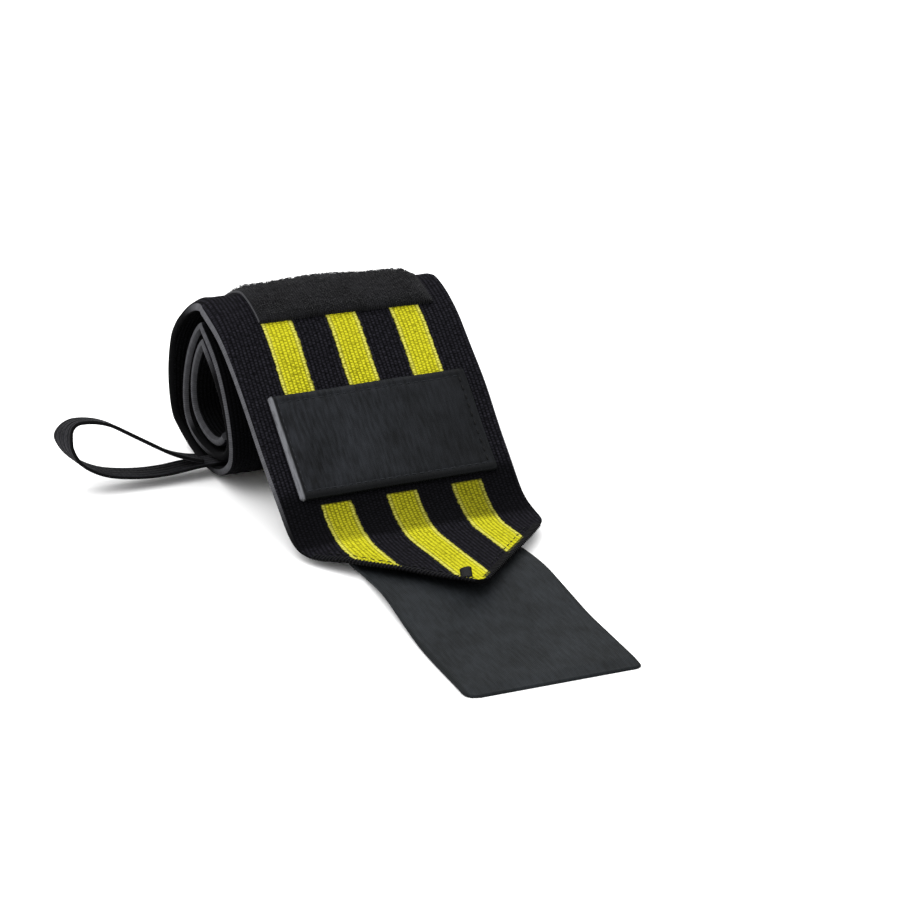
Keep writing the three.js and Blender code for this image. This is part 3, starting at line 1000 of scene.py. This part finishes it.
def tail_draw(along, way):
    return np.where(way < 0, TAIL_DRAW * (1 - smooth(along / TAIL_DRAW_REACH)), 0.0)


tail_woven = woven_material(
    "tail_weave", "tail", cell=(0.5, 0.9), depth=0.06, roughness=0.6, border=TAPE_WIDTH / 2 - TAIL_SELVEDGE)
tail_piece = strip(
    "tail_tape", tail.put, np.linspace(0, tail.length, TAIL_STEPS), tail_half, even(-HOOK_THICK / 2),
    tail_top, [tail_woven] * 4, across=60, turns=4, relief=tail_relief, edges=tail_draw)

# Thumb loop, with lengthwise cords in its braid
RIB_HEIGHT = 0.09
RIB_PITCH = 2.2


def strap_places():
    """Places along the strap, with its directions across and off its face."""
    seat = at_angle(STRAP_ROOT_FACING)
    origin, normal = band.at(np.array([seat]))
    inward = -normal[0]
    root = origin[0] + inward * (OUTER + STRAP_BED_GAP + STRAP_THICK / 2)
    root_lean = math.atan2(inward[1], inward[2])
    back_heading = sum(turn for _, turn in STRAP_OUT)
    crown = travel(0, STRAP_OUT)[1]
    back = straight_to(STRAP_THICK + SEAM_GAP - crown, back_heading, [STRAP_EASE])
    rows = [*STRAP_OUT, back, STRAP_EASE]
    points, headings = walk((BAND_HALF - STRAP_ROOT_LENGTH, 0.0), 0.0, rows, STRAP_STEP)
    outside = smooth((points[:, 0] - BAND_HALF) / STRAP_LEAN_LENGTH)
    lean = mix(root_lean, math.radians(STRAP_LEAN), outside)
    rise = np.stack([np.zeros_like(lean), np.sin(lean), np.cos(lean)], 1)
    out = np.array([-1.0, 0.0, 0.0])
    turn = np.radians(headings)[:, None]
    place = root + points[:, :1] * out + points[:, 1:] * rise
    upper = smooth((headings - STRAP_FACE_HEADING) / (STRAP_TOP_HEADING - STRAP_FACE_HEADING))
    face = mix(root_lean, np.radians(mix(STRAP_FACE_LEAN, STRAP_TOP_LEAN, upper)), outside)
    askew = STRAP_SKEW * bell(headings, STRAP_SKEW_HEADING, STRAP_SKEW_SPREAD)
    across = np.stack([askew, -np.cos(face), np.sin(face)], 1)
    across /= np.linalg.norm(across, axis=1, keepdims=True)
    normal = np.cross(np.cos(turn) * out + np.sin(turn) * rise, across)
    return place, across, normal / np.linalg.norm(normal, axis=1, keepdims=True)


strap_place, strap_across, strap_normal = strap_places()
strap_along = np.concatenate([[0.0], np.cumsum(np.linalg.norm(np.diff(strap_place, axis=0), axis=1))])


def on_strap(along, side, height):
    at = [np.stack([np.interp(along, strap_along, way[:, k]) for k in range(3)], -1)
          for way in (strap_place, strap_across, strap_normal)]
    return at[0] + side[..., None] * at[1] + height[..., None] * at[2]


def strap_ribs(along, side, face):
    return face * RIB_HEIGHT * np.cos(side * 2 * math.pi / RIB_PITCH)


strap_braid = woven_material("strap_braid", "strap", cell=(1.1, 1.5), depth=0.3, roughness=0.8, sheen=0.03)
strap_edge = plain_material("strap_edge", "strap_valley", roughness=0.9, grain=3.0)
strap_piece = strip(
    "thumb_strap", on_strap, strap_along, even(STRAP_WIDTH / 2), even(-STRAP_THICK / 2),
    even(STRAP_THICK / 2), [strap_braid, strap_edge, strap_braid, strap_edge],
    across=36, turns=3, relief=strap_ribs)

# Stitches round the label, with a coarser dark seam at its right end, and along the pile tape's sides
LABEL_STITCH_SUNK = 0.12
LABEL_SEAM_SUNK = 0.05
TAPE_ROW_INSET = 1.5
TAPE_ROW_MARGIN = 2.2
TAPE_ROW_PARTS = 12
TAPE_STITCH_RAISE = 0.2
thread = plain_material("thread", "thread", roughness=0.6, grain=3.0)
label_thread = plain_material("label_thread", "label_ridge", roughness=0.6, grain=3.0)
label_top_row = label_from + LABEL_ROW
label_low_row = label_to - LABEL_ROW
label_side = LABEL_WIDTH / 2 - LABEL_ROW
label_row = [(label_top_row, label_side), (label_top_row, -label_side),
             (label_low_row, -label_side), (label_low_row, label_side)]
label_end_row = [(label_low_row, label_side), (label_top_row, label_side)]
label_paths = stitch_paths(on_band, label_row, label_top - LABEL_STITCH_SUNK)
seam_paths = stitch_paths(on_band, label_end_row, label_top - LABEL_SEAM_SUNK, pitch=3.2, length=2.0)
label_stitches = threads("label_stitches", label_paths, radius=0.17, material=label_thread)
label_seam = threads("label_seam", seam_paths, radius=0.3, material=thread)
tape_side = PILE_HALF - TAPE_ROW_INSET
tape_parts = np.linspace(pile_from + TAPE_ROW_MARGIN, pile_to - TAPE_ROW_MARGIN, TAPE_ROW_PARTS)
tape_row = [*[(s, -tape_side) for s in tape_parts], *[(s, tape_side) for s in tape_parts[::-1]]]
tape_paths = stitch_paths(on_pile, tape_row, PILE_BORDER_TOP + TAPE_STITCH_RAISE)
tape_stitches = threads("tape_stitches", tape_paths, radius=0.2, material=thread)

# Overlock thread over the cut edges of the point, with a row of stitches behind it
OVERLOCK_PITCH = 1.25
OVERLOCK_INSET = np.array([2.3, 1.6, 0.9, 0.3, -0.15, -0.15])
OVERLOCK_HEIGHT = OUTER + np.array([-0.1, 0.2, 0.22, 0.16, -0.2, -0.7])
OVERLOCK_SLANT = np.linspace(0.7, 0.0, len(OVERLOCK_INSET))
OVERLOCK_LEAD = 4.0
OVERLOCK_STOP = 1.0
POINT_ROW_INSET = 3.8
POINT_ROW_STOP = 12.0
POINT_STITCH_RAISE = 0.1
overlock, point_rows = [], []
for way, fall in POINT_FALL.items():
    slope = math.hypot(1, fall)
    reach = (BAND_HALF - POINT_BLUNT) / fall - OVERLOCK_LEAD
    for s in np.arange(band.length - reach, band.length - OVERLOCK_STOP, OVERLOCK_PITCH / slope):
        edge = float(point_half(s, way) + way * sway(np.array(s), way))
        along = s - (OVERLOCK_INSET * fall - OVERLOCK_SLANT) / slope
        side = edge - (OVERLOCK_INSET + OVERLOCK_SLANT * fall) / slope
        overlock.append(on_band(along, way * side, OVERLOCK_HEIGHT))
    ends = [(band.length - to_tip, way * (POINT_BLUNT + fall * to_tip - POINT_ROW_INSET * slope))
            for to_tip in (reach, POINT_ROW_STOP)]
    point_rows.append(stitch_paths(on_band, ends, OUTER + POINT_STITCH_RAISE, pitch=3.0, length=2.0))
overlock_piece = threads("point_overlock", np.array(overlock), radius=0.27, material=thread)
point_stitches = threads("point_stitches", np.concatenate(point_rows), radius=0.2, material=thread)

# Bar tack at the tip, a close zigzag that leans to the left
TACK_TOP = 11.5
TACK_END = 3.6
TACK_SIDE = -0.3
TACK_LEAN = -3.0
TACK_HALF = 1.9
TACK_ROWS = 20
TACK_RAISE = 0.35
TACK_DIP = 0.2
tack = []
for i in range(TACK_ROWS):
    share = np.linspace(i, i + 1, STITCH_POINTS) / TACK_ROWS
    way = np.linspace(-1.0, 1.0, STITCH_POINTS) * (1 if i % 2 else -1)
    s = band.length - mix(TACK_TOP, TACK_END, share)
    x = TACK_SIDE + TACK_LEAN * share + TACK_HALF * way
    tack.append(on_band(s, x, OUTER + TACK_RAISE - TACK_DIP * way ** 4))
tack_piece = threads("point_tack", np.array(tack), radius=0.36, material=thread)

# Riding on the root body, with the model's own parts hidden where these pieces replace them
for piece, node in ((band_piece, "band"), (label_piece, "label_patch"), (pile_piece, "loop_tape"),
                    (tail_piece, "hook_tail"), (strap_piece, "thumb_loop")):
    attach(piece, "root")
    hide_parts(node)
for piece, name in ((label_stitches, "label_patch"), (label_seam, "label_patch"),
                    (tape_stitches, "loop_tape"), (fuzz_piece, "loop_tape"),
                    (overlock_piece, "band"), (point_stitches, "band"), (tack_piece, "band")):
    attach(piece, "root")


# Floor, lights and camera

FLOOR_HALF = 4.0
FLOOR_ROUGHNESS = 0.8
WORLD_STRENGTH = 1.02
# Broad soft lights from above: where they come from and their strengths
LIGHT_SPREAD = 65.0
LIGHTS = {
    "left_light": ((-0.85, 0.35, 1.0), 1.3),
    "right_light": ((0.45, 0.6, 1.0), 1.3),
    "top_light": ((-0.1, -0.05, 1.0), 1.2),
}


def point_at(thing, place, target):
    way = place - target
    way = way / np.linalg.norm(way)
    aside = np.cross([0.0, 0.0, 1.0], way)
    aside = aside / np.linalg.norm(aside)
    up = np.cross(way, aside)
    rows = [[aside[k], up[k], way[k], place[k]] for k in range(3)]
    thing.matrix_world = Matrix([*rows, [0.0, 0.0, 0.0, 1.0]])


floor_corners = [(x * FLOOR_HALF, y * FLOOR_HALF, 0.0) for x, y in ((-1, -1), (1, -1), (1, 1), (-1, 1))]
floor_mesh = bpy.data.meshes.new("floor")
floor_mesh.from_pydata(floor_corners, [], [(0, 1, 2, 3)])
floor = bpy.data.objects.new("floor", floor_mesh)
bpy.context.scene.collection.objects.link(floor)
floor_paint = bpy.data.materials.new("floor")
floor_paint.use_nodes = True
floor_surface = floor_paint.node_tree.nodes["Principled BSDF"]
floor_surface.inputs["Base Color"].default_value = tone("floor")
floor_surface.inputs["Roughness"].default_value = FLOOR_ROUGHNESS
floor_mesh.materials.append(floor_paint)

world = bpy.data.worlds.new("studio")
world.use_nodes = True
background = world.node_tree.nodes["Background"]
background.inputs["Color"].default_value = (1.0, 1.0, 1.0, 1.0)
background.inputs["Strength"].default_value = WORLD_STRENGTH
bpy.context.scene.world = world

for name, (place, strength) in LIGHTS.items():
    lamp = bpy.data.lights.new(name, "SUN")
    lamp.angle = math.radians(LIGHT_SPREAD)
    lamp.energy = strength
    light = bpy.data.objects.new(name, lamp)
    bpy.context.scene.collection.objects.link(light)
    point_at(light, np.array(place), np.zeros(3))

azimuth, elevation = math.radians(CAMERA_AZIMUTH), math.radians(CAMERA_ELEVATION)
level_way = np.array([math.sin(azimuth), -math.cos(azimuth), 0.0])
to_camera = level_way * math.cos(elevation) + np.array([0.0, 0.0, math.sin(elevation)])
camera_data = bpy.data.cameras.new("camera")
camera_data.sensor_width = CAMERA_SENSOR
camera_data.lens = CAMERA_SENSOR * CAMERA_DISTANCE * PICTURE_SCALE / PICTURE_SIDE
camera_data.shift_x = 0.5 - PICTURE_PLACE[0] / PICTURE_SIDE
camera_data.shift_y = PICTURE_PLACE[1] / PICTURE_SIDE - 0.5
camera = bpy.data.objects.new("camera", camera_data)
bpy.context.scene.collection.objects.link(camera)
target = CAMERA_TARGET * MM
point_at(camera, target + to_camera * CAMERA_DISTANCE * MM, target)
bpy.context.scene.camera = camera
bpy.context.scene.view_settings.view_transform = "Standard"
